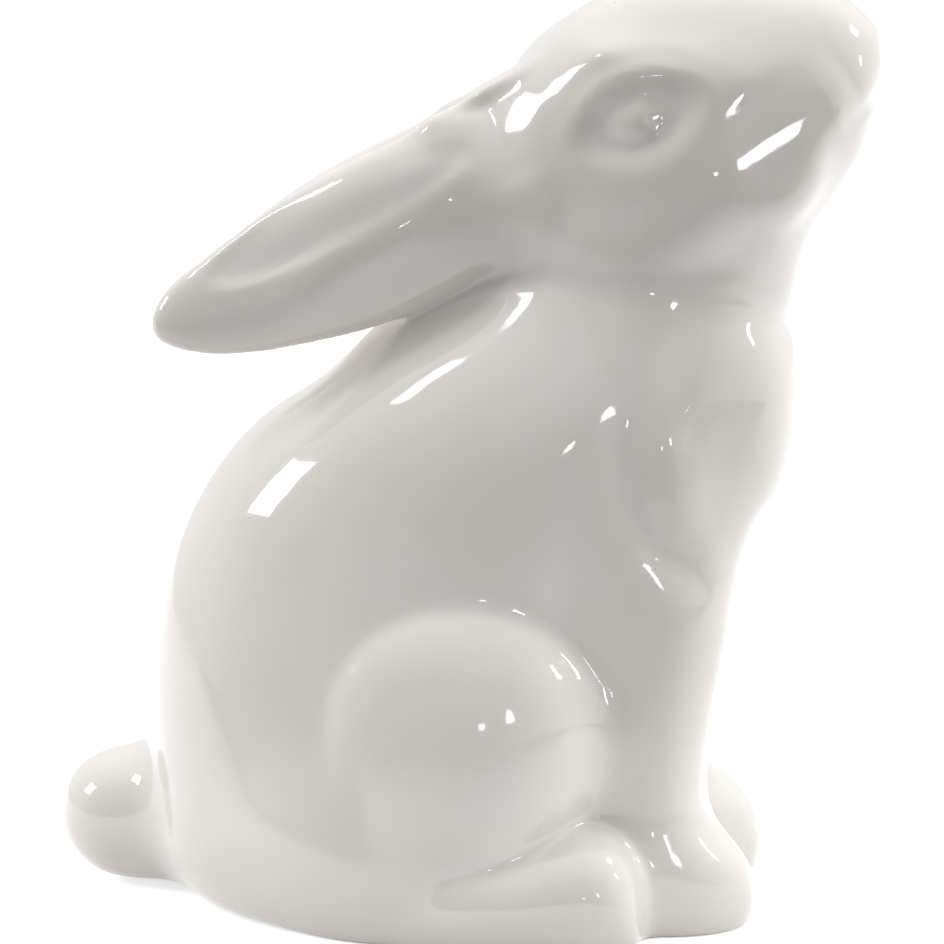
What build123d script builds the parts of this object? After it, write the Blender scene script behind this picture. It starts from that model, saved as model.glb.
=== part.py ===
# Seated rabbit figurine in glazed white earthenware, cast in nine pieces that are luted together with slip.
# The rabbit faces +X, its left side is +Y, up is +Z, and it stands on Z = 0. Lengths are in millimetres.
from build123d import *
from math import cos, pi, sin
import os

# Torso, a hollow casting that leans forward from a broad rump to the neck seam.
torso_length = 80.0
torso_width = 58.0
torso_height = 84.0
wall = 4.5
floor_thickness = 5.0
vent_diameter = 12.0
# Haunches and breast, swellings of the torso casting.
haunch_length = 41.0
haunch_height = 42.0
haunch_depth = 29.0
haunch_span = 63.0
haunch_rise = 25.5
haunch_turn = 10.0
haunch_fillet = 4.0
breast_length = 25.0
breast_width = 39.0
breast_height = 42.0
breast_fillet = 7.0
# Head, a hollow casting with a blunt muzzle, measured from the nape at the neck seam.
head_length = 54.5
head_height = 39.0
head_width = 34.0
eye_length = 16.0
eye_height = 9.0
eye_depth = 2.2
eyeball_length = 9.5
eyeball_height = 8.4
eyeball_depth = 2.4
eye_slope = 22.0
# Ears, solid leaves laid back from the crown and hollowed on the outer side.
ear_length = 57.0
ear_width = 21.5
ear_thickness = 8.6
ear_droop = 25.5
ear_splay = 6.0
ear_spacing = 16.0
ear_hollow_length = 41.0
ear_hollow_width = 9.5
ear_hollow_depth = 2.6
# Forelegs, solid castings that end in a rounded paw.
foreleg_height = 66.0
foreleg_length = 17.0
foreleg_width = 17.0
foreleg_spacing = 26.0
forepaw_length = 21.4
forepaw_height = 14.0
# Hind feet, solid castings that lie under the haunches.
hind_foot_length = 34.0
hind_foot_width = 16.8
hind_foot_height = 14.2
hind_foot_spacing = 47.0
# Tail, a solid ball.
tail_length = 19.0
tail_width = 17.6
tail_height = 18.2
tail_rise = 9.6

ring_points = 16
overrun = 20.0

# Torso rings from the foot to the neck seam: height over torso_height, front, back and half width over
# torso_length and torso_width, and how far from front to back the ring is widest.
torso_ring_shares = [
    (0.000, 0.330, -0.425, 0.460, 0.46),
    (0.020, 0.347, -0.470, 0.485, 0.50),
    (0.070, 0.360, -0.505, 0.497, 0.54),
    (0.190, 0.372, -0.520, 0.485, 0.55),
    (0.335, 0.385, -0.523, 0.459, 0.52),
    (0.475, 0.412, -0.505, 0.434, 0.50),
    (0.595, 0.450, -0.462, 0.417, 0.48),
    (0.715, 0.485, -0.382, 0.400, 0.45),
    (0.800, 0.505, -0.293, 0.376, 0.42),
    (0.880, 0.520, -0.178, 0.336, 0.42),
    (1.000, 0.550, 0.020, 0.275, 0.46),
]
# Head rings that fan out from the throat: throat and crown places from the nape over head_length and
# head_height, half width over head_width, and how far from throat to crown the ring is widest.
head_ring_shares = [
    (0.806, 0.115, 0.034, 0.280, 0.468, 0.50),
    (0.862, 0.265, 0.235, 0.900, 0.503, 0.47),
    (0.897, 0.348, 0.530, 0.995, 0.424, 0.47),
    (0.936, 0.440, 0.830, 0.962, 0.305, 0.46),
    (0.976, 0.605, 0.971, 0.835, 0.140, 0.50),
]
# Rings that the torso and the head both run through at the neck seam, and rings of solid muzzle.
lap_rings = 1
solid_muzzle_rings = 2
# Ear rings from root to tip: place over ear_length, drop below the axis and half width over ear_width,
# half thickness over ear_thickness.
ear_ring_shares = [
    (0.00, 0.00, 0.40, 0.50),
    (0.20, 0.00, 0.47, 0.49),
    (0.45, 0.01, 0.50, 0.45),
    (0.70, 0.02, 0.44, 0.39),
    (0.88, 0.01, 0.29, 0.31),
    (0.96, 0.00, 0.17, 0.22),
    (1.00, 0.00, 0.05, 0.08),
]
ear_hollow_place_shares = (0.54, 0.44, -0.19)
# Foreleg rings from shoulder to ankle: height over foreleg_height, reach ahead and behind over foreleg_length,
# step outward and half width over foreleg_width.
foreleg_ring_shares = [
    (1.00, 0.42, -0.53, -0.26, 0.40),
    (0.88, 0.50, -0.53, -0.15, 0.46),
    (0.68, 0.57, -0.53, -0.05, 0.49),
    (0.50, 0.48, -0.48, 0.00, 0.48),
    (0.31, 0.37, -0.45, 0.02, 0.47),
]
# Forepaw rings from ankle to sole: height over forepaw_height, reach ahead over forepaw_length,
# step outward and half width over foreleg_width.
forepaw_ring_shares = [
    (1.00, 0.35, 0.03, 0.48),
    (0.80, 0.45, 0.04, 0.51),
    (0.55, 0.57, 0.05, 0.53),
    (0.28, 0.61, 0.05, 0.53),
    (0.08, 0.59, 0.05, 0.51),
    (0.00, 0.56, 0.05, 0.48),
]
forepaw_heel_share = -0.44
# Hind foot rings from heel to toe: place over hind_foot_length, height over hind_foot_height and half width
# over hind_foot_width.
hind_foot_ring_shares = [
    (0.10, 0.38, 0.28),
    (0.28, 0.60, 0.42),
    (0.50, 0.78, 0.48),
    (0.68, 0.94, 0.50),
    (0.80, 1.00, 0.50),
    (0.90, 0.90, 0.44),
    (0.97, 0.68, 0.30),
]
hind_foot_belly_share = 0.42
foreleg_place_share = 0.335
hind_foot_place_share = -0.100
haunch_place_share = -0.006
breast_place_shares = (0.404, 0.780)
vent_place_share = -0.08
eye_place_shares = (0.415, 0.560)
ear_root_shares = (0.20, 0.450)
sides = {"right": -1, "left": 1}


def ring(centre, forward, sideward, reach_back):
    """A closed ring of two half ellipses: forward and back along one line, sideward across it."""
    points = []
    for step in range(ring_points):
        angle = 2 * pi * step / ring_points
        along = forward if cos(angle) > 0 else reach_back
        points.append(centre + along * abs(cos(angle)) + sideward * sin(angle))
    parameters = [step / ring_points for step in range(ring_points + 1)]
    return Face(Wire([Edge.make_spline(points, periodic=True, parameters=parameters)]))


def body_ring(low, high, half_width, widest_share):
    """A ring strung across the body between two places on its side outline."""
    centre = low + (high - low) * widest_share
    return ring(centre, high - centre, Vector(0, half_width, 0), low - centre)


def body_lofts(inset, muzzle_rings=0):
    """Torso and head, drawn in by inset all round, both running on past the neck seam, and the nape."""
    outline = []
    for height, front, back, half, widest in torso_ring_shares:
        low = Vector(front * torso_length, 0, height * torso_height)
        high = Vector(back * torso_length, 0, height * torso_height)
        outline.append((low, high, half * torso_width, widest))
    seam_ring = len(outline) - 1
    nape = outline[seam_ring][1]
    for low_x, low_z, high_x, high_z, half, widest in head_ring_shares:
        low = nape + Vector(low_x * head_length, 0, low_z * head_height)
        high = nape + Vector(high_x * head_length, 0, high_z * head_height)
        outline.append((low, high, half * head_width, widest))
    rings = []
    for low, high, half, widest in outline:
        draw_in = (high - low).normalized() * inset
        rings.append(body_ring(low + draw_in, high - draw_in, half - inset, widest))
    torso_rings = rings[: seam_ring + lap_rings + 1]
    head_rings = rings[seam_ring - lap_rings : len(rings) - muzzle_rings]
    return loft(torso_rings), loft(head_rings), nape


def ellipsoid(centre, length, width, height, turn=0):
    """A solid ellipsoid, turned about the upright, with its own seam line out of the rabbit's middle plane."""
    return Pos(*centre) * Rot(0, 0, 90 + turn) * scale(Sphere(1), by=(width / 2, length / 2, height / 2))


def blend(first, second, radius):
    """Two forms fused, with a fillet along the crease between them."""
    fused = first + second
    creases = [edge for edge in new_edges(first, second, combined=fused) if edge.length > radius / 2]
    return fused.fillet(radius, creases)


def haunch(side, inset):
    centre = (haunch_place_share * torso_length, side * (haunch_span - haunch_depth) / 2, haunch_rise)
    sizes = [size - 2 * inset for size in (haunch_length, haunch_depth, haunch_height)]
    return ellipsoid(centre, *sizes, side * haunch_turn)


def breast():
    centre = (breast_place_shares[0] * torso_length, 0, breast_place_shares[1] * torso_height)
    return ellipsoid(centre, breast_length, breast_width, breast_height)


def eye(form, nape, side):
    """The almond hollow of one eye and the ball that fills its middle, set square to the cheek."""
    level = nape + Vector(eye_place_shares[0] * head_length, 0, eye_place_shares[1] * head_height)
    hits = form.find_intersection_points(Axis(level, (0, side, 0)))
    place, outward = max(hits, key=lambda hit: side * hit[0].Y)
    seat = Plane(origin=place, x_dir=Vector(1, 0, 0).rotate(Axis.Y, -eye_slope), z_dir=outward).location
    hollow = seat * ellipsoid((0, 0, 0), eye_length, eye_height, 2 * eye_depth)
    ball = seat * ellipsoid((0, 0, -eye_depth), eyeball_length, eyeball_height, 2 * eyeball_depth)
    return hollow, ball


def above(form, height):
    return split(form, bisect_by=Plane.XY.offset(height), keep=Keep.TOP)


def below(form, height):
    return split(form, bisect_by=Plane.XY.offset(height), keep=Keep.BOTTOM)


def filled_forms():
    """Torso and head before they are hollowed, with haunches, breast and eyes, and the nape."""
    torso, head, nape = body_lofts(0)
    for side in sides.values():
        torso = blend(torso, haunch(side, 0), haunch_fillet)
    torso = blend(torso, breast(), breast_fillet)
    for side in sides.values():
        hollow, ball = eye(head, nape, side)
        head = head - hollow + ball
    return above(below(torso, torso_height), 0), above(head, torso_height), nape


def cavities():
    """The hollows that the slip leaves inside torso and head."""
    torso, head, _ = body_lofts(wall, solid_muzzle_rings)
    for side in sides.values():
        torso = torso + haunch(side, wall)
    return above(torso, floor_thickness), head


def ear(nape, side):
    """A leaf along its own axis, with the hollow cut from its outer face."""
    root = nape + Vector(ear_root_shares[0] * head_length, side * ear_spacing / 2, ear_root_shares[1] * head_height)
    lie = Pos(*root) * Rot(0, -ear_droop, 0) * Rot(0, 0, -side * ear_splay)
    rings = []
    for place, drop, half_width, half_thickness in ear_ring_shares:
        centre = Vector(-place * ear_length, 0, -drop * ear_width)
        up = Vector(0, 0, half_width * ear_width)
        rings.append(ring(centre, up, Vector(0, side * half_thickness * ear_thickness, 0), -up))
    along, out, drop = ear_hollow_place_shares
    brim = Vector(-along * ear_length, side * out * ear_thickness, -drop * ear_width)
    hollow = ellipsoid(brim, ear_hollow_length, 2 * ear_hollow_depth, ear_hollow_width)
    return lie * (loft(rings) - hollow)


def foreleg(side):
    """A leg that sinks into the shoulder above and swells into the paw below."""
    rows = []
    for height, ahead, behind, outward, half in foreleg_ring_shares:
        rows.append((height * foreleg_height, ahead * foreleg_length, behind * foreleg_length, outward, half))
    for height, ahead, outward, half in forepaw_ring_shares:
        behind = forepaw_heel_share * foreleg_length
        rows.append((height * forepaw_height, ahead * forepaw_length, behind, outward, half))
    rings = []
    for level, ahead, behind, outward, half in rows:
        across = side * (foreleg_spacing / 2 + outward * foreleg_width)
        centre = Vector(foreleg_place_share * torso_length, across, level)
        rings.append(ring(centre, Vector(ahead, 0, 0), Vector(0, half * foreleg_width, 0), Vector(behind, 0, 0)))
    return loft(rings)


def hind_foot(side):
    """A long foot that rises to a round toe, cut flat where it stands."""
    heel = Vector(hind_foot_place_share * torso_length, side * hind_foot_spacing / 2, 0)
    rings = []
    for place, height, half in hind_foot_ring_shares:
        belly = hind_foot_belly_share * height * hind_foot_height
        centre = heel + Vector(place * hind_foot_length, 0, belly)
        up = Vector(0, 0, height * hind_foot_height - belly)
        rings.append(ring(centre, up, Vector(0, half * hind_foot_width, 0), -up))
    rise = Vector(0, 0, hind_foot_belly_share * hind_foot_height / 2)
    toe = heel + rise + Vector(hind_foot_length, 0, 0)
    return above(loft([Vertex(*(heel + rise))] + rings + [Vertex(*toe)]), 0)


def tail():
    reach = min(row[2] for row in torso_ring_shares) * torso_length
    return ellipsoid((reach - tail_length / 6, 0, tail_rise), tail_length, tail_width, tail_height)


def main():
    os.makedirs("parts", exist_ok=True)
    torso, head, nape = filled_forms()
    torso_cavity, head_cavity = cavities()
    vent = Pos(vent_place_share * torso_length, 0, 0) * Cylinder(vent_diameter / 2, 2 * overrun)
    pieces = {
        "torso": torso - torso_cavity - vent,
        "head": head - head_cavity,
        "tail": tail() - torso,
    }
    for name, side in sides.items():
        pieces[f"{name}_ear"] = ear(nape, side) - head - torso
        pieces[f"{name}_foreleg"] = foreleg(side) - torso
        pieces[f"{name}_hind_foot"] = hind_foot(side) - torso - foreleg(side)
    for name, piece in pieces.items():
        export_step(piece, f"parts/{name}.step")


main()
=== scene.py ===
import math

import bmesh
import bpy
import numpy as np
import openvdb
from mathutils import Matrix, Vector


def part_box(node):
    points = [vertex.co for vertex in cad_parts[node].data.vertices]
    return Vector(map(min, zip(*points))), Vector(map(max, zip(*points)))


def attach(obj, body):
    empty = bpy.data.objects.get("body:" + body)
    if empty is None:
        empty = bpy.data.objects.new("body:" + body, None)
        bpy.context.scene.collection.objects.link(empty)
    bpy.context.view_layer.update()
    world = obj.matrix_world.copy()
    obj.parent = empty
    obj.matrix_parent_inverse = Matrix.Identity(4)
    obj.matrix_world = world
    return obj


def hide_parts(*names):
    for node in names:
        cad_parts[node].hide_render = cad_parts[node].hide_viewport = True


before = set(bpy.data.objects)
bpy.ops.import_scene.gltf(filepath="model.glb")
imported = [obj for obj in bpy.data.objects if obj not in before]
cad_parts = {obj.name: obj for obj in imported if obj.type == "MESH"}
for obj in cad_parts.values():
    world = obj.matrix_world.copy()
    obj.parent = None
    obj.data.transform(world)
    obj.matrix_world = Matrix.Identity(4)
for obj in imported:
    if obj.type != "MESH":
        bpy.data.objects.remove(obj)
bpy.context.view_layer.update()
mm = 0.001
tiny = 1e-12  # keeps divisions away from zero
scene = bpy.context.scene

# All castings share one lattice of voxels, which reaches as far to the left as to the right
voxels = {"size": 0.5 * mm, "margin": 6 * mm, "band": 9 * mm}
corners = [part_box(name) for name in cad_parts]
lowest = [min(low[axis] for low, high in corners) - voxels["margin"] for axis in range(3)]
highest = [max(high[axis] for low, high in corners) + voxels["margin"] for axis in range(3)]
latticeLow = [math.floor(c / voxels["size"]) for c in lowest]
latticeHigh = [math.ceil(c / voxels["size"]) for c in highest]
latticeHigh[1] = max(latticeHigh[1], -latticeLow[1])
latticeLow[1] = -latticeHigh[1]
latticeShape = [high - low + 1 for low, high in zip(latticeLow, latticeHigh)]
latticeSpans = zip(latticeLow, latticeHigh)
lines = [np.arange(low, high + 1, dtype=np.float32) * voxels["size"] for low, high in latticeSpans]
lattice = openvdb.createLinearTransform(voxelSize=voxels["size"])

weld = {"doubles": 0.001 * mm, "level": 0.01 * mm}
vent = {
    "place": Vector((-6.4 * mm, 0)), "radius": 6 * mm, "depth": 5 * mm, "rim": 1 * mm,
    "wallReach": 1.02, "wallTop": 1.1,
}


def castingMesh(nodeName):
    bm = bmesh.new()
    bm.from_mesh(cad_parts[nodeName].data)
    bmesh.ops.remove_doubles(bm, verts=bm.verts, dist=weld["doubles"])
    return bm


def isVentWall(face):
    near = all((v.co.xy - vent["place"]).length < vent["wallReach"] * vent["radius"] for v in face.verts)
    return near and face.calc_center_median().z < vent["wallTop"] * vent["depth"]


def isSeam(face, height):
    return all(abs(v.co.z - height) < weld["level"] for v in face.verts)


def outerSkin(nodeName, seamHeight):
    # opens a hollow casting at its neck seam and vent, then keeps only the skin that reaches farthest out
    bm = castingMesh(nodeName)
    opened = [f for f in bm.faces if isSeam(f, seamHeight) or isVentWall(f)]
    bmesh.ops.delete(bm, geom=opened, context="FACES")
    front = [max(bm.verts, key=lambda v: abs(v.co.y))]
    kept = set(front)
    while front:
        vertex = front.pop()
        for edge in vertex.link_edges:
            other = edge.other_vert(vertex)
            if other not in kept:
                kept.add(other)
                front.append(other)
    bmesh.ops.delete(bm, geom=[v for v in bm.verts if v not in kept], context="VERTS")
    ventRim = [e for e in bm.edges if e.is_boundary and all(v.co.z < weld["level"] for v in e.verts)]
    bmesh.ops.holes_fill(bm, edges=ventRim, sides=0)
    return bm


def levelSet(*castings):
    # one field of signed distances to all the castings given
    points = []
    triangles = []
    for bm in castings:
        bmesh.ops.triangulate(bm, faces=bm.faces)
        bm.verts.index_update()
        start = len(points)
        points += [tuple(v.co) for v in bm.verts]
        triangles += [[start + v.index for v in f.verts] for f in bm.faces]
        bm.free()
    grid = openvdb.FloatGrid.createLevelSetFromPolygons(
        np.array(points, np.float32),
        triangles=np.array(triangles, np.uint32),
        transform=lattice,
        halfWidth=voxels["band"] / voxels["size"],
    )
    field = np.empty(latticeShape, np.float32)
    grid.copyToArray(field, ijk=latticeLow)
    return field


def melded(first, second, reach):
    # a soft union: slip and glaze fill the crease between two castings
    overlap = np.maximum(reach - np.abs(first - second), 0)
    return np.minimum(first, second) - overlap * overlap / (4 * reach)


def cutAway(field, tool, reach):
    return -melded(-field, tool, reach)


def softened(field, rounds):
    # glaze flows off every edge and into every corner
    for turn in range(rounds):
        for axis in range(3):
            field = np.moveaxis(field, axis, 0)
            padded = np.concatenate([field[:1], field, field[-1:]])
            field = np.moveaxis(0.5 * field + 0.25 * (padded[2:] + padded[:-2]), 0, axis)
    return np.ascontiguousarray(field)


earRoll = 2  # degrees


def rolledEar():
    # turned a little about its own length
    bm = castingMesh("right_ear")
    root = max((v.co for v in bm.verts), key=lambda c: c.x).copy()
    tip = min((v.co for v in bm.verts), key=lambda c: c.x).copy()
    turn = Matrix.Rotation(math.radians(earRoll), 3, tip - root)
    bmesh.ops.rotate(bm, verts=bm.verts, cent=(root + tip) / 2, matrix=turn)
    return bm


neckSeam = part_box("torso")[1].z
bodyField = levelSet(outerSkin("torso", neckSeam), outerSkin("head", neckSeam))
pieceFields = {"tail": levelSet(castingMesh("tail")), "right_ear": levelSet(rolledEar())}
for part in ("foreleg", "hind_foot"):
    pieceFields["right_" + part] = levelSet(castingMesh("right_" + part))
for part in ("ear", "foreleg", "hind_foot"):
    pieceFields["left_" + part] = pieceFields["right_" + part][:, ::-1, :]
print("level sets", latticeShape)

meld = {"tail": 8 * mm, "ear": 6.5 * mm, "foreleg": 9 * mm, "hind_foot": 2.4 * mm}
meldRounds = 2
figure = bodyField
for name, field in pieceFields.items():
    figure = melded(figure, field, meld[name.replace("right_", "").replace("left_", "")])
figure = softened(figure, meldRounds)
print("castings melded")


def windowAt(centre, reach):
    cells = []
    offsets = []
    for axis in range(3):
        first = max(0, math.floor((centre[axis] - reach) / voxels["size"]) - latticeLow[axis])
        last = math.ceil((centre[axis] + reach) / voxels["size"]) - latticeLow[axis] + 1
        cells.append(slice(first, last))
        shape = [1, 1, 1]
        shape[axis] = -1
        offsets.append((lines[axis][first:last] - centre[axis]).reshape(shape))
    return tuple(cells), offsets


def surfaceAt(field, x, z, side):
    # the outermost point of the skin on a line across the body, and its outward direction
    column = [round(x / voxels["size"]) - latticeLow[0], None, round(z / voxels["size"]) - latticeLow[2]]
    depths = field[column[0], :, column[2]]
    inside = np.flatnonzero(depths < 0)
    middle = inside[-1] if side > 0 else inside[0]
    beyond = middle + side
    share = depths[middle] / (depths[middle] - depths[beyond])
    place = Vector((x, lines[1][middle] + side * share * voxels["size"], z))
    around = field[column[0] - 2:column[0] + 3, middle - 2:middle + 3, column[2] - 2:column[2] + 3]
    slopes = [float(np.diff(around, axis=axis).mean()) for axis in range(3)]
    return place, Vector(slopes).normalized()


def step(values, start, end):
    share = np.clip((values - start) / (end - start), 0, 1)
    return share * share * (3 - 2 * share)


def bump(values, width):
    return np.exp(-(values / width) ** 2)


eye = {
    "along": 0.425, "up": 0.538, "slope": 23,
    "reach": 16 * mm, "full": 0.7, "squash": 1.5, "smoothing": 40,
    "halfLength": 8.6 * mm, "upper": 4.0 * mm, "lower": 3.6 * mm, "depth": 1.3 * mm,
    "softness": 2.0 * mm, "edge": (-1.6, 1.1),
    "ball": (5.2 * mm, 3.2 * mm, 0.9 * mm), "ballRound": 1.5,
    "fold": 0.15 * mm, "foldOff": 2.4, "foldRise": 4 * mm, "foldEnds": (-0.2, 0.6),
    "pupil": (2.1 * mm, 0.3 * mm), "pupilSize": (1.5 * mm, 2.4 * mm), "pupilEdge": (1.0, 0.3),
}


def eyeRelief(along, up):
    # how deep the eye is cut: a soft almond hollow, the ball in it, the fold above it, the pupil
    bow = 1 - (along / eye["halfLength"]) ** 2
    soft = eye["softness"]
    inside = -np.logaddexp((up - eye["upper"] * bow) / soft, -(up + eye["lower"] * bow) / soft) * soft
    edgeStart, edgeEnd = eye["edge"]
    hollow = eye["depth"] * step(inside, edgeStart * soft, edgeEnd * soft)
    length, height, rise = eye["ball"]
    ball = rise * np.clip(1 - (along / length) ** 2 - (up / height) ** 2, 0, 1) ** eye["ballRound"]
    fold = eye["fold"] * bump(inside + eye["foldOff"] * soft, soft)
    fold = fold * step(up, 0, eye["foldRise"]) * step(bow, *eye["foldEnds"])
    pupilPlace, pupilDepth = eye["pupil"]
    dish = ((along - pupilPlace) / eye["pupilSize"][0]) ** 2 + (up / eye["pupilSize"][1]) ** 2
    pupil = pupilDepth * step(dish, *eye["pupilEdge"])
    return hollow - ball + fold + pupil


def sculptEye(field, side):
    low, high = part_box("head")
    x = low.x + eye["along"] * (high.x - low.x)
    z = low.z + eye["up"] * (high.z - low.z)
    place, outward = surfaceAt(field, x, z, side)
    slope = math.radians(eye["slope"])
    along = Vector((math.cos(slope), 0, math.sin(slope)))
    along = (along - outward * along.dot(outward)).normalized()
    up = along.cross(outward) * -side
    up = up if up.z > 0 else -up
    cells, offsets = windowAt(place, eye["reach"])
    spots = [sum(offset * part for offset, part in zip(offsets, axis)) for axis in (along, up, outward)]
    distance = np.sqrt(spots[0] ** 2 + (eye["squash"] * spots[1]) ** 2 + spots[2] ** 2)
    mask = 1 - step(distance, eye["full"] * eye["reach"], eye["reach"])
    smooth = softened(field[cells], eye["smoothing"])
    plain = field[cells] + mask * (smooth - field[cells])
    field[cells] = plain + mask * eyeRelief(spots[0], spots[1])


# Strokes of clay put on or taken off: place, reach along each axis and height in mm, slope in degrees
strokes = {
    "throat": ((45.0, 0, 81.5), (6, 13, 6), 0.7, 0),
    "breast_front": ((46.5, 0, 72.0), (6, 13, 9), 0.7, 0),
    "breast_under": ((39.5, 0, 50.0), (5, 12, 5), -1.8, 0),
    "breast_side": ((27.0, 18, 64.0), (5, 6, 11), 1.2, 0),
    "breast_turn": ((37.0, 18, 66.0), (6, 6, 12), -1.8, 0),
    "nape": ((-5.5, 0, 77.5), (9, 8, 8), 1.3, 0),
    "nose_top": ((55.5, 0, 120.5), (5, 9, 4), -1.3, 0),
    "crown_back": ((-1.0, 0, 104.5), (7, 9, 5), 1.6, 38),
    "crown_top": ((14.5, 0, 119.5), (7, 9, 4), -1.2, 40),
    "back_top": ((-19.5, 0, 71.0), (7, 10, 7), -1.2, 0),
    "ear_top": ((-18.0, 9, 97.0), (12, 8, 5), -2.3, 27),
    "ear_edge": ((-30.0, 11, 89.5), (11, 7, 5), -0.9, 30),
    "tail_top": ((-44.0, 0, 21.5), (6, 8, 4), -1.0, 0),
    "brow": ((24.0, 14, 117.5), (20, 6, 5), -1.2, 0),
    "brow_ridge": ((20.0, 14, 110.5), (7, 6, 6), 2.2, 0),
    "temple": ((-3.5, 12, 100.5), (6, 5, 4), -1.2, 30),
    "chin": ((49.0, 0, 98.5), (5, 8, 8), 1.0, 0),
    "jaw_corner": ((43.0, 13.0, 96.0), (7, 5, 6), 1.8, 0),
    "haunch_low": ((1.0, 29, 12.0), (14, 7, 9), 2.2, 0),
    "haunch_back": ((-15.0, 26, 14.0), (8, 6, 11), 1.4, 0),
    "heel": ((-8.0, 26, 4.0), (8, 6, 6), 1.8, 0),
}
strokeWindow = 2.5  # how many reaches out a stroke is still felt


def sculptStroke(field, place, reach, height, slope):
    for side in ((1,) if place[1] == 0 else (-1, 1)):
        centre = (place[0] * mm, side * place[1] * mm, place[2] * mm)
        cells, (ahead, across, above) = windowAt(centre, strokeWindow * max(reach) * mm)
        turn = math.radians(slope)
        along = ahead * math.cos(turn) + above * math.sin(turn)
        upward = above * math.cos(turn) - ahead * math.sin(turn)
        distance = sum((offset / (size * mm)) ** 2 for offset, size in zip((along, across, upward), reach))
        field[cells] -= height * mm * np.exp(-distance)


# Creases and ridges on each flank, in mm: width, then places along and up and a depth, minus for a ridge
creases = {
    "breast": (3.2, [(24.6, 78.8, 0.1), (23.6, 71.7, 0.6), (23.3, 64.6, 0.8), (24.6, 56.9, 0.8),
                     (27.8, 51.1, 0.7), (32.3, 46.7, 0.3)]),
    "jaw": (4.5, [(34.5, 98.2, -0.1), (38.0, 100.4, -0.6), (43.0, 103.6, -1.0), (47.8, 107.0, -1.5),
                  (51.0, 109.3, -0.5)]),
    "ear_ridge": (3.6, [(1.1, 93.5, -0.3), (-6.1, 90.1, -0.8), (-13.6, 86.7, -1.0), (-18.9, 82.7, -0.7),
                        (-23.7, 78.6, -0.2)]),
    "cheek": (7.0, [(14.1, 91.7, -0.6), (24.3, 89.2, -1.3), (31.9, 91.6, -1.6), (37.7, 95.2, -1.6),
                    (42.8, 100.5, -1.0)]),
    "collar": (3.5, [(9.0, 87.1, 0.2), (21.8, 83.5, 0.5), (30.0, 85.0, 0.5), (37.0, 88.8, 0.5),
                     (44.7, 95.3, 0.3)]),
}
creaseWindow = 3  # how many widths out a crease is still felt


def pressCrease(field, width, rows, side):
    points = [surfaceAt(field, x * mm, z * mm, side)[0] for x, z, depth in rows]
    depths = [depth * mm for x, z, depth in rows]
    middle = sum(points, Vector()) / len(points)
    cells, offsets = windowAt(middle, max((p - middle).length for p in points) + creaseWindow * width * mm)
    spots = np.stack(np.broadcast_arrays(*offsets), axis=-1)
    nearest = np.full(spots.shape[:3], np.inf)
    pressed = np.zeros(spots.shape[:3])
    for first, last, firstDepth, lastDepth in zip(points, points[1:], depths, depths[1:]):
        run = last - first
        away = spots - np.array(first - middle)
        share = np.clip(away @ np.array(run) / run.length_squared, 0, 1)
        distance = np.linalg.norm(away - share[..., None] * np.array(run), axis=-1)
        closer = distance < nearest
        nearest = np.where(closer, distance, nearest)
        pressed = np.where(closer, firstDepth + share * (lastDepth - firstDepth), pressed)
    field[cells] += pressed * bump(nearest, width * mm)


# Places rubbed smooth with a wet sponge: middle and reach in mm, rounds of rubbing
sponged = {"shoulder": ((27, 18, 57), 11, 70), "haunch": ((-13, 27, 12), 11, 50)}
sponge = {"window": 1.6, "full": 0.6, "none": 1.5}


def smoothPatch(field, place, reach, rounds):
    for side in (-1, 1):
        centre = (place[0] * mm, side * place[1] * mm, place[2] * mm)
        cells, offsets = windowAt(centre, sponge["window"] * reach * mm)
        distance = np.sqrt(sum(offset ** 2 for offset in offsets))
        mask = 1 - step(distance, sponge["full"] * reach * mm, sponge["none"] * reach * mm)
        field[cells] += mask * (softened(field[cells], rounds) - field[cells])


earFill = {
    "place": (-14.0, 10.0, 91.5), "reach": (18 * mm, 4.6 * mm, 6 * mm), "slope": 27,
    "meld": 3 * mm, "window": 24 * mm,
}


def fillEar(field):
    # a leaf of clay that leaves the hollow of each ear shallow
    for side in (-1, 1):
        x, y, z = earFill["place"]
        cells, (ahead, across, above) = windowAt((x * mm, side * y * mm, z * mm), earFill["window"])
        turn = math.radians(earFill["slope"])
        along = ahead * math.cos(turn) + above * math.sin(turn)
        upward = above * math.cos(turn) - ahead * math.sin(turn)
        spots = list(zip((along, across, upward), earFill["reach"]))
        near = np.sqrt(sum((spot / reach) ** 2 for spot, reach in spots))
        steep = np.sqrt(sum((spot / reach ** 2) ** 2 for spot, reach in spots))
        leaf = near * (near - 1) / np.maximum(steep, tiny)
        field[cells] = melded(field[cells], leaf, earFill["meld"])


# Places scraped to an even bow: middle, outward direction, run along it, radius and length of the scraper
scrapes = {
    "crown": ((13.2, 13.2, 107.5), (-0.535, 0.785, 0.31), (0.786, 0.254, 0.564), 35, 12),
    "jaw": ((43.0, 15.0, 103.6), (0.244, 0.966, 0.093), (0.80, -0.34, 0.50), 28, 13),
}
scraper = {
    "window": 1.6, "lift": 0.8 * mm, "sides": (5 * mm, 9 * mm), "ends": (0.7, 1.3), "meld": 1.2 * mm,
}


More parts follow.
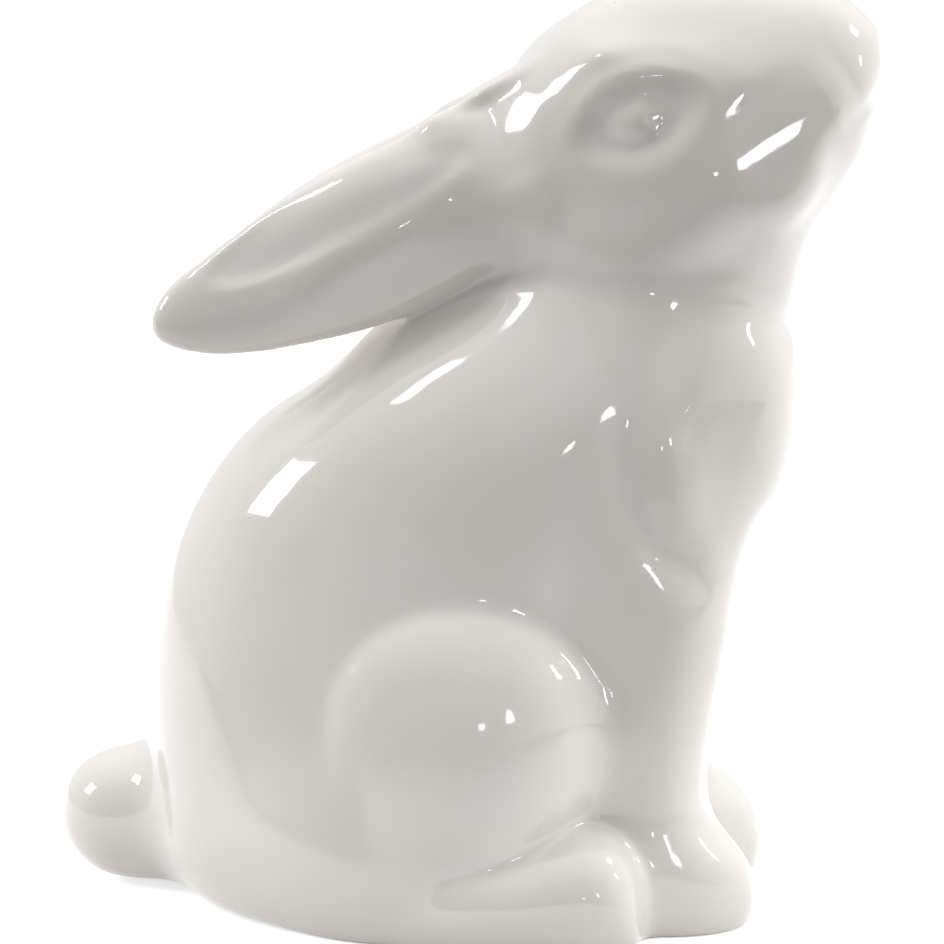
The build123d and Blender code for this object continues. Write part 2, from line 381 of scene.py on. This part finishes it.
def scrapeBow(field, place, outward, run, radius, length):
    for side in (-1, 1):
        flip = np.array((1, side, 1))
        away = np.array(outward) * flip / np.linalg.norm(outward)
        along = np.array(run) * flip
        along = along - away * along.dot(away)
        along /= np.linalg.norm(along)
        across = np.cross(away, along)
        cells, offsets = windowAt(np.array(place) * flip * mm, scraper["window"] * length * mm)
        spots = [sum(offset * part for offset, part in zip(offsets, axis)) for axis in (along, across, away)]
        bow = np.hypot(spots[1], spots[2] + radius * mm) - radius * mm
        bow -= scraper["lift"] * (spots[0] / (length * mm)) ** 4
        mask = 1 - step(np.abs(spots[1]), *scraper["sides"])
        ends = [share * length * mm for share in scraper["ends"]]
        mask = mask * (1 - step(np.abs(spots[0]), *ends))
        field[cells] += mask * (cutAway(field[cells], -bow, scraper["meld"]) - field[cells])


smoothPatch(figure, *sponged["shoulder"])
for stroke in strokes.values():
    sculptStroke(figure, *stroke)
smoothPatch(figure, *sponged["haunch"])
fillEar(figure)
for side in (-1, 1):
    for width, rows in creases.values():
        pressCrease(figure, width, rows, side)
for scrape in scrapes.values():
    scrapeBow(figure, *scrape)
for side in (-1, 1):
    sculptEye(figure, side)

mouth = {
    "place": (55.0 * mm, 108.6 * mm), "slope": 42, "depth": 0.5 * mm, "width": 0.8 * mm,
    "back": 6 * mm, "window": 12 * mm,
}


def sculptMouth(field):
    # a shallow line around the muzzle that runs down and back from the lip
    x, z = mouth["place"]
    cells, (ahead, across, above) = windowAt((x, 0, z), mouth["window"])
    slope = math.radians(mouth["slope"])
    off = above * math.cos(slope) - ahead * math.sin(slope)
    field[cells] += mouth["depth"] * bump(off, mouth["width"]) * step(ahead, -mouth["back"], 0)


sculptMouth(figure)
ventHole = np.maximum(
    np.hypot(lines[0][:, None] - vent["place"].x, lines[1][None, :])[:, :, None] - vent["radius"],
    lines[2][None, None, :] - vent["depth"],
)
figure = cutAway(figure, ventHole, vent["rim"])
figure = np.maximum(figure, -lines[2][None, None, :])
print("details sculpted")


def skinOf(field):
    grid = openvdb.FloatGrid(voxels["band"])
    grid.copyFromArray(np.ascontiguousarray(field), ijk=latticeLow)
    grid.transform = lattice
    points, quads = grid.convertToQuads(isovalue=0.0)
    return points.astype(np.float64), quads.astype(np.int64)


relax = {"rounds": 8, "shrink": 0.5, "swell": -0.52}


def relaxed(points, quads):
    # smooths the voxel steps out and swells back as much, so that the form keeps its size
    edges = np.concatenate([quads[:, [i, (i + 1) % 4]] for i in range(4)])
    count = np.bincount(edges[:, 0], minlength=len(points)) + np.bincount(edges[:, 1], minlength=len(points))
    for turn in range(relax["rounds"]):
        for weight in (relax["shrink"], relax["swell"]):
            total = np.empty_like(points)
            for axis in range(3):
                total[:, axis] = np.bincount(edges[:, 0], points[edges[:, 1], axis], len(points))
                total[:, axis] += np.bincount(edges[:, 1], points[edges[:, 0], axis], len(points))
            points = points + weight * (total / count[:, None] - points)
    points[:, 2] = np.maximum(points[:, 2], 0)
    return points


def normalsOf(points, quads):
    across = np.cross(points[quads[:, 2]] - points[quads[:, 0]], points[quads[:, 3]] - points[quads[:, 1]])
    total = np.empty_like(points)
    for axis in range(3):
        total[:, axis] = sum(np.bincount(quads[:, i], across[:, axis], len(points)) for i in range(4))
    return total / np.maximum(np.linalg.norm(total, axis=1), tiny)[:, None]


skinPoints, skinQuads = skinOf(figure)
skinPoints = relaxed(skinPoints, skinQuads)
skinNormals = normalsOf(skinPoints, skinQuads)


pool = {"every": 2, "rounds": 6, "depth": 0.4 * mm}


def pooledAt(points):
    # how far each point lies in a crease, from a coarse and blurred field
    every = pool["every"]
    coarse = softened(figure[::every, ::every, ::every], pool["rounds"])
    spots = (points / voxels["size"] - np.array(latticeLow)) / every
    cells = np.clip(np.floor(spots).astype(int), 0, np.array(coarse.shape) - 2)
    shares = spots - cells
    total = np.zeros(len(points))
    for corner in np.ndindex(2, 2, 2):
        weight = np.prod(np.where(corner, shares, 1 - shares), axis=1)
        total += weight * coarse[tuple((cells + corner).T)]
    return np.clip(-total / pool["depth"], -1, 1)


skinPooled = pooledAt(skinPoints)
print("skin", len(skinPoints), "points", len(skinQuads), "quads")


def ownersOf(points, quads):
    # each face goes to the casting it lies nearest to, and the body is parted at the neck seam
    middles = points[quads].mean(axis=1)
    cells = []
    for axis in range(3):
        cell = np.rint(middles[:, axis] / voxels["size"]).astype(int) - latticeLow[axis]
        cells.append(np.clip(cell, 0, latticeShape[axis] - 1))
    names = ["torso"] + list(pieceFields) + ["head"]
    distances = [bodyField[tuple(cells)]] + [field[tuple(cells)] for field in pieceFields.values()]
    nearest = np.argmin(distances, axis=0)
    nearest[(nearest == 0) & (middles[:, 2] > neckSeam)] = len(names) - 1
    return names, nearest


def neighboursOf(quads):
    # pairs of faces that share an edge
    edges = np.concatenate([np.sort(quads[:, [i, (i + 1) % 4]], axis=1) for i in range(4)])
    faces = np.tile(np.arange(len(quads)), 4)
    keys = edges[:, 0] * (edges.max() + 1) + edges[:, 1]
    order = np.argsort(keys, kind="stable")
    same = np.flatnonzero(keys[order][1:] == keys[order][:-1])
    return faces[order][same], faces[order][same + 1]


crumbs = {"smallest": 600, "rounds": 3}


def withoutCrumbs(nearest, quads):
    # faces cut off from their casting by a seam go over to the casting around them
    first, second = neighboursOf(quads)
    for turn in range(crumbs["rounds"]):
        island = np.arange(len(quads))
        joined = nearest[first] == nearest[second]
        changed = True
        while changed:
            before = island.copy()
            np.minimum.at(island, first[joined], island[second[joined]])
            np.minimum.at(island, second[joined], island[first[joined]])
            island = island[island]
            changed = not np.array_equal(before, island)
        crumb = np.bincount(island, minlength=len(quads))[island] < crumbs["smallest"]
        for inner, outer in ((first, second), (second, first)):
            rim = crumb[inner] & ~crumb[outer]
            for number, owner in dict(zip(island[inner[rim]].tolist(), nearest[outer[rim]].tolist())).items():
                nearest[island == number] = owner
    return nearest


def loopsOf(rim):
    # groups the open edges of a piece into the seams they belong to
    group = {index: index for edge in rim for index in edge}

    def rootOf(index):
        while group[index] != index:
            index = group[index]
        return index

    for first, second in rim:
        group[rootOf(first)] = rootOf(second)
    loops = {}
    for edge in rim:
        loops.setdefault(rootOf(edge[0]), []).append(edge)
    return list(loops.values())


seamDepth = 1.2 * mm


def closedPiece(name, quads):
    # one casting's share of the skin, with each luted seam closed by a wall that turns inwards
    used, faces = np.unique(quads, return_inverse=True)
    faces = faces.reshape(-1, 4)
    edges = np.concatenate([faces[:, [i, (i + 1) % 4]] for i in range(4)])
    pairs = {tuple(edge) for edge in edges.tolist()}
    vertices = [Vector(point) for point in skinPoints[used]]
    vertexNormals = [Vector(normal) for normal in skinNormals[used]]
    polygons = faces.tolist()
    for loop in loopsOf(sorted(edge for edge in pairs if (edge[1], edge[0]) not in pairs)):
        inner = {}
        for index in sorted({index for edge in loop for index in edge}):
            inner[index] = len(vertices)
            vertices.append(vertices[index] - seamDepth * vertexNormals[index])
            vertexNormals.append(vertexNormals[index])
        hub = len(vertices)
        outward = sum((vertexNormals[index] for index in inner), Vector()) / len(inner)
        middle = sum((vertices[index] for index in inner.values()), Vector()) / len(inner)
        vertices.append(middle - 2 * seamDepth * outward)
        vertexNormals.append(outward)
        for first, second in loop:
            polygons.append((second, first, inner[first], inner[second]))
            polygons.append((inner[second], inner[first], hub))
    mesh = bpy.data.meshes.new(name)
    mesh.from_pydata(vertices, [], polygons)
    mesh.shade_smooth()
    mesh.normals_split_custom_set_from_vertices(vertexNormals)
    pooled = mesh.attributes.new("pooled", "FLOAT", "POINT")
    pooled.data.foreach_set("value", np.append(skinPooled[used], np.zeros(len(vertices) - len(used))))
    piece = bpy.data.objects.new(name, mesh)
    scene.collection.objects.link(piece)
    return piece


pieceNames, owners = ownersOf(skinPoints, skinQuads)
owners = withoutCrumbs(owners, skinQuads)
pieces = []
for number, name in enumerate(pieceNames):
    piece = closedPiece("glazed_" + name, skinQuads[owners == number])
    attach(piece, "root")
    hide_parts(name)
    pieces.append(piece)
print("pieces", {p.name: len(p.data.polygons) for p in pieces})

glaze = {
    "thick": (0.800, 0.776, 0.738, 1), "thin": (0.770, 0.742, 0.700, 1), "speck": (0.19, 0.14, 0.10, 1),
    "bare": (0.72, 0.66, 0.58, 1), "bareHeight": 0.45 * mm, "roughness": (0.045, 0.085),
    "cloud": 45, "cloudEdges": (0.35, 0.65), "depthEdges": (0.0, 1.2),
    "pinhole": 95, "pinholeSize": 0.028, "pinholeRare": 0.80, "pinholeDepth": 0.5,
    "peel": 260, "peelHeight": 0.06, "grain": 2400, "grainHeight": 0.3,
    "bareShade": 0.88, "bareRoughness": 0.75, "coat": 0.35, "coatRoughness": 0.03, "ior": 1.5,
    "bump": 0.35, "bumpDistance": 0.2 * mm,
}


class Nodes:
    # a short way to place nodes and join them
    def __init__(self, tree):
        self.tree = tree

    def add(self, kind, **inputs):
        node = self.tree.nodes.new("ShaderNode" + kind)
        for key, value in inputs.items():
            self.feed(node, key.replace("_", " "), value)
        return node

    def feed(self, node, key, value):
        socket = node.inputs[int(key[1:])] if key[0] == "i" and key[1:].isdigit() else node.inputs[key]
        if isinstance(value, bpy.types.NodeSocket):
            self.tree.links.new(value, socket)
        else:
            socket.default_value = value

    def math(self, operation, first, second=0.5):
        node = self.add("Math", i0=first, i1=second)
        node.operation = operation
        return node.outputs[0]

    def ramp(self, value, low, high, start=0.0, end=1.0):
        node = self.add("MapRange", Value=value, From_Min=low, From_Max=high, To_Min=start, To_Max=end)
        node.interpolation_type = "SMOOTHSTEP"
        return node.outputs["Result"]

    def mix(self, share, first, second):
        node = self.add("Mix")
        node.data_type = "RGBA"
        self.feed(node, "i0", share)
        self.feed(node, "i6", first)
        self.feed(node, "i7", second)
        return node.outputs[2]


def whiteGlaze():
    material = bpy.data.materials.new("white_glaze")
    material.use_nodes = True
    kit = Nodes(material.node_tree)
    shader = material.node_tree.nodes["Principled BSDF"]
    place = kit.add("TexCoord").outputs["Object"]
    height = kit.add("SeparateXYZ", Vector=place).outputs["Z"]
    cloud = kit.add("TexNoise", Vector=place, Scale=glaze["cloud"], Detail=3.0).outputs["Fac"]
    peel = kit.add("TexNoise", Vector=place, Scale=glaze["peel"], Detail=1.0).outputs["Fac"]
    grain = kit.add("TexNoise", Vector=place, Scale=glaze["grain"], Detail=4.0).outputs["Fac"]
    cells = kit.add("TexVoronoi", Vector=place, Scale=glaze["pinhole"], Randomness=1.0)
    lucky = kit.add("SeparateXYZ", Vector=cells.outputs["Color"]).outputs["X"]
    pinhole = kit.ramp(cells.outputs["Distance"], glaze["pinholeSize"], 0.5 * glaze["pinholeSize"])
    pinhole = kit.math("MULTIPLY", pinhole, kit.math("GREATER_THAN", lucky, glaze["pinholeRare"]))
    bare = kit.ramp(height, glaze["bareHeight"], 0.4 * glaze["bareHeight"])
    # the glaze lies thicker in the creases and runs thin over the ridges
    pooled = kit.add("Attribute")
    pooled.attribute_name = "pooled"
    depth = kit.ramp(cloud, *glaze["cloudEdges"])
    depth = kit.math("ADD", depth, pooled.outputs["Fac"])
    colour = kit.mix(kit.ramp(depth, *glaze["depthEdges"]), glaze["thin"], glaze["thick"])
    colour = kit.mix(pinhole, colour, glaze["speck"])
    shade = tuple(glaze["bareShade"] * part for part in glaze["bare"][:3]) + (1,)
    clay = kit.mix(grain, glaze["bare"], shade)
    kit.feed(shader, "Base Color", kit.mix(bare, colour, clay))
    gloss = kit.ramp(cloud, *glaze["cloudEdges"], *glaze["roughness"])
    dull = kit.math("MULTIPLY", bare, glaze["bareRoughness"])
    kit.feed(shader, "Roughness", kit.math("MAXIMUM", gloss, dull))
    uncoated = kit.math("MULTIPLY", bare, glaze["coat"])
    kit.feed(shader, "Coat Weight", kit.math("SUBTRACT", glaze["coat"], uncoated))
    shader.inputs["Coat Roughness"].default_value = glaze["coatRoughness"]
    shader.inputs["IOR"].default_value = glaze["ior"]
    relief = kit.math("MULTIPLY", peel, glaze["peelHeight"])
    relief = kit.math("SUBTRACT", relief, kit.math("MULTIPLY", pinhole, glaze["pinholeDepth"]))
    rough = kit.math("MULTIPLY", kit.math("MULTIPLY", bare, grain), glaze["grainHeight"])
    relief = kit.math("ADD", relief, rough)
    swell = kit.add("Bump", Strength=glaze["bump"], Distance=glaze["bumpDistance"], Height=relief)
    kit.feed(shader, "Normal", swell.outputs["Normal"])
    kit.feed(shader, "Coat Normal", swell.outputs["Normal"])
    return material


glazeMaterial = whiteGlaze()
for piece in pieces:
    piece.data.materials.append(glazeMaterial)

view = {
    "target": Vector((1.6 * mm, 0, 57 * mm)), "turn": 5, "rise": 10,
    "distance": 520 * mm, "width": 125.6 * mm,
}


def photoCamera():
    turn = math.radians(view["turn"])
    rise = math.radians(view["rise"])
    back = Vector((math.sin(turn) * math.cos(rise), -math.cos(turn) * math.cos(rise), math.sin(rise)))
    data = bpy.data.cameras.new("photo_camera")
    data.sensor_width = 36
    data.lens = data.sensor_width * view["distance"] / view["width"]
    camera = bpy.data.objects.new("photo_camera", data)
    camera.location = view["target"] + back * view["distance"]
    camera.rotation_euler = back.to_track_quat("Z", "Y").to_euler()
    scene.collection.objects.link(camera)
    scene.camera = camera


# the floor is painted dark towards the camera's side, as painted shade of the dim room there
studio = {
    "floor": (0.74, 0.74, 0.74, 1), "floorShade": (0.72, 0.72, 0.72, 1), "floorWhite": 0.70,
    "floorReach": 4.0, "paintedShadeEdges": (-0.025, -0.26), "dark": 0.10, "paper": 300.0,
    "front": 0.06, "side": 0.88, "sideEdges": (-0.85, 0.05),
    "zenith": 0.70, "zenithEdges": (0.35, 1.0), "right": 0.55, "rightEdges": (0.20, 0.90),
}


def studioFloor():
    # white to the camera and to the glaze, and lit like any pale floor besides, so that the shadow stays
    data = bpy.data.meshes.new("studio_floor")
    reach = studio["floorReach"]
    corners = [(-reach, -reach, 0), (reach, -reach, 0), (reach, reach, 0), (-reach, reach, 0)]
    data.from_pydata(corners, [], [(0, 1, 2, 3)])
    floor = bpy.data.objects.new("studio_floor", data)
    scene.collection.objects.link(floor)
    material = bpy.data.materials.new("studio_floor")
    material.use_nodes = True
    kit = Nodes(material.node_tree)
    shader = material.node_tree.nodes["Principled BSDF"]
    path = kit.add("LightPath")
    seen = kit.math("MAXIMUM", path.outputs["Is Camera Ray"], path.outputs["Is Glossy Ray"])
    seen = kit.math("MAXIMUM", seen, path.outputs["Is Transmission Ray"])
    place = kit.add("TexCoord").outputs["Object"]
    paper = kit.add("TexNoise", Vector=place, Scale=studio["paper"], Detail=4.0).outputs["Fac"]
    # painted shade: the floor's colour and its white glow fade to near black towards the camera's side,
    # standing in for the dim room there
    across = kit.add("SeparateXYZ", Vector=place).outputs["Y"]
    paintedRoomLight = kit.ramp(across, *studio["paintedShadeEdges"], 1.0, studio["dark"])
    colour = kit.mix(paper, studio["floor"], studio["floorShade"])
    kit.feed(shader, "Base Color", kit.mix(paintedRoomLight, (0, 0, 0, 1), colour))
    shader.inputs["Roughness"].default_value = 1.0
    shader.inputs["Specular IOR Level"].default_value = 0.0
    shader.inputs["Emission Color"].default_value = (1, 1, 1, 1)
    white = kit.math("MULTIPLY", seen, kit.math("MULTIPLY", paintedRoomLight, studio["floorWhite"]))
    kit.feed(shader, "Emission Strength", white)
    data.materials.append(material)


def studioWorld():
    # a dim room on the camera's side, white walls round the rest
    world = bpy.data.worlds.new("studio")
    scene.world = world
    world.use_nodes = True
    kit = Nodes(world.node_tree)
    sky = world.node_tree.nodes["Background"]
    way = kit.add("SeparateXYZ", Vector=kit.add("TexCoord").outputs["Generated"])
    wall = kit.ramp(way.outputs["Y"], *studio["sideEdges"], studio["front"], studio["side"])
    ceiling = kit.ramp(way.outputs["Z"], *studio["zenithEdges"], 0.0, studio["zenith"])
    window = kit.ramp(way.outputs["X"], *studio["rightEdges"], 0.0, studio["right"])
    kit.feed(sky, "Strength", kit.math("ADD", kit.math("ADD", wall, ceiling), window))
    sky.inputs["Color"].default_value = (1, 1, 1, 1)


# Lamps round the rabbit: turn and rise in degrees, width and height in metres, brightness
softboxes = {
    "left_softbox": (-169, 26, 0.21, 0.20, 14),
    "nape_softbox": (-157, 50, 0.08, 0.14, 16),
    "front_softbox": (-60, 8, 0.08, 0.09, 14),
    "low_softbox": (-79, 3, 0.04, 0.04, 14),
    "right_softbox": (14, 43, 0.13, 0.12, 16),
    "window_softbox": (0, 25, 0.05, 0.12, 16),
}
lampRing = {"middle": Vector((0, 0, 60 * mm)), "radius": 0.9}


def softbox(name, turn, rise, width, height, level):
    # a lamp on a sphere around the rabbit, as bright as level however large it is
    away = Vector((math.cos(math.radians(turn)), math.sin(math.radians(turn)), math.tan(math.radians(rise))))
    away.normalize()
    data = bpy.data.lights.new(name, "AREA")
    data.shape = "RECTANGLE"
    data.size = width
    data.size_y = height
    data.energy = level * math.pi * width * height
    lamp = bpy.data.objects.new(name, data)
    lamp.location = lampRing["middle"] + lampRing["radius"] * away
    lamp.rotation_euler = away.to_track_quat("Z", "Y").to_euler()
    scene.collection.objects.link(lamp)


photoCamera()
studioFloor()
studioWorld()
for name, lamp in softboxes.items():
    softbox(name, *lamp)
scene.view_settings.view_transform = "Standard"
print("stage set")
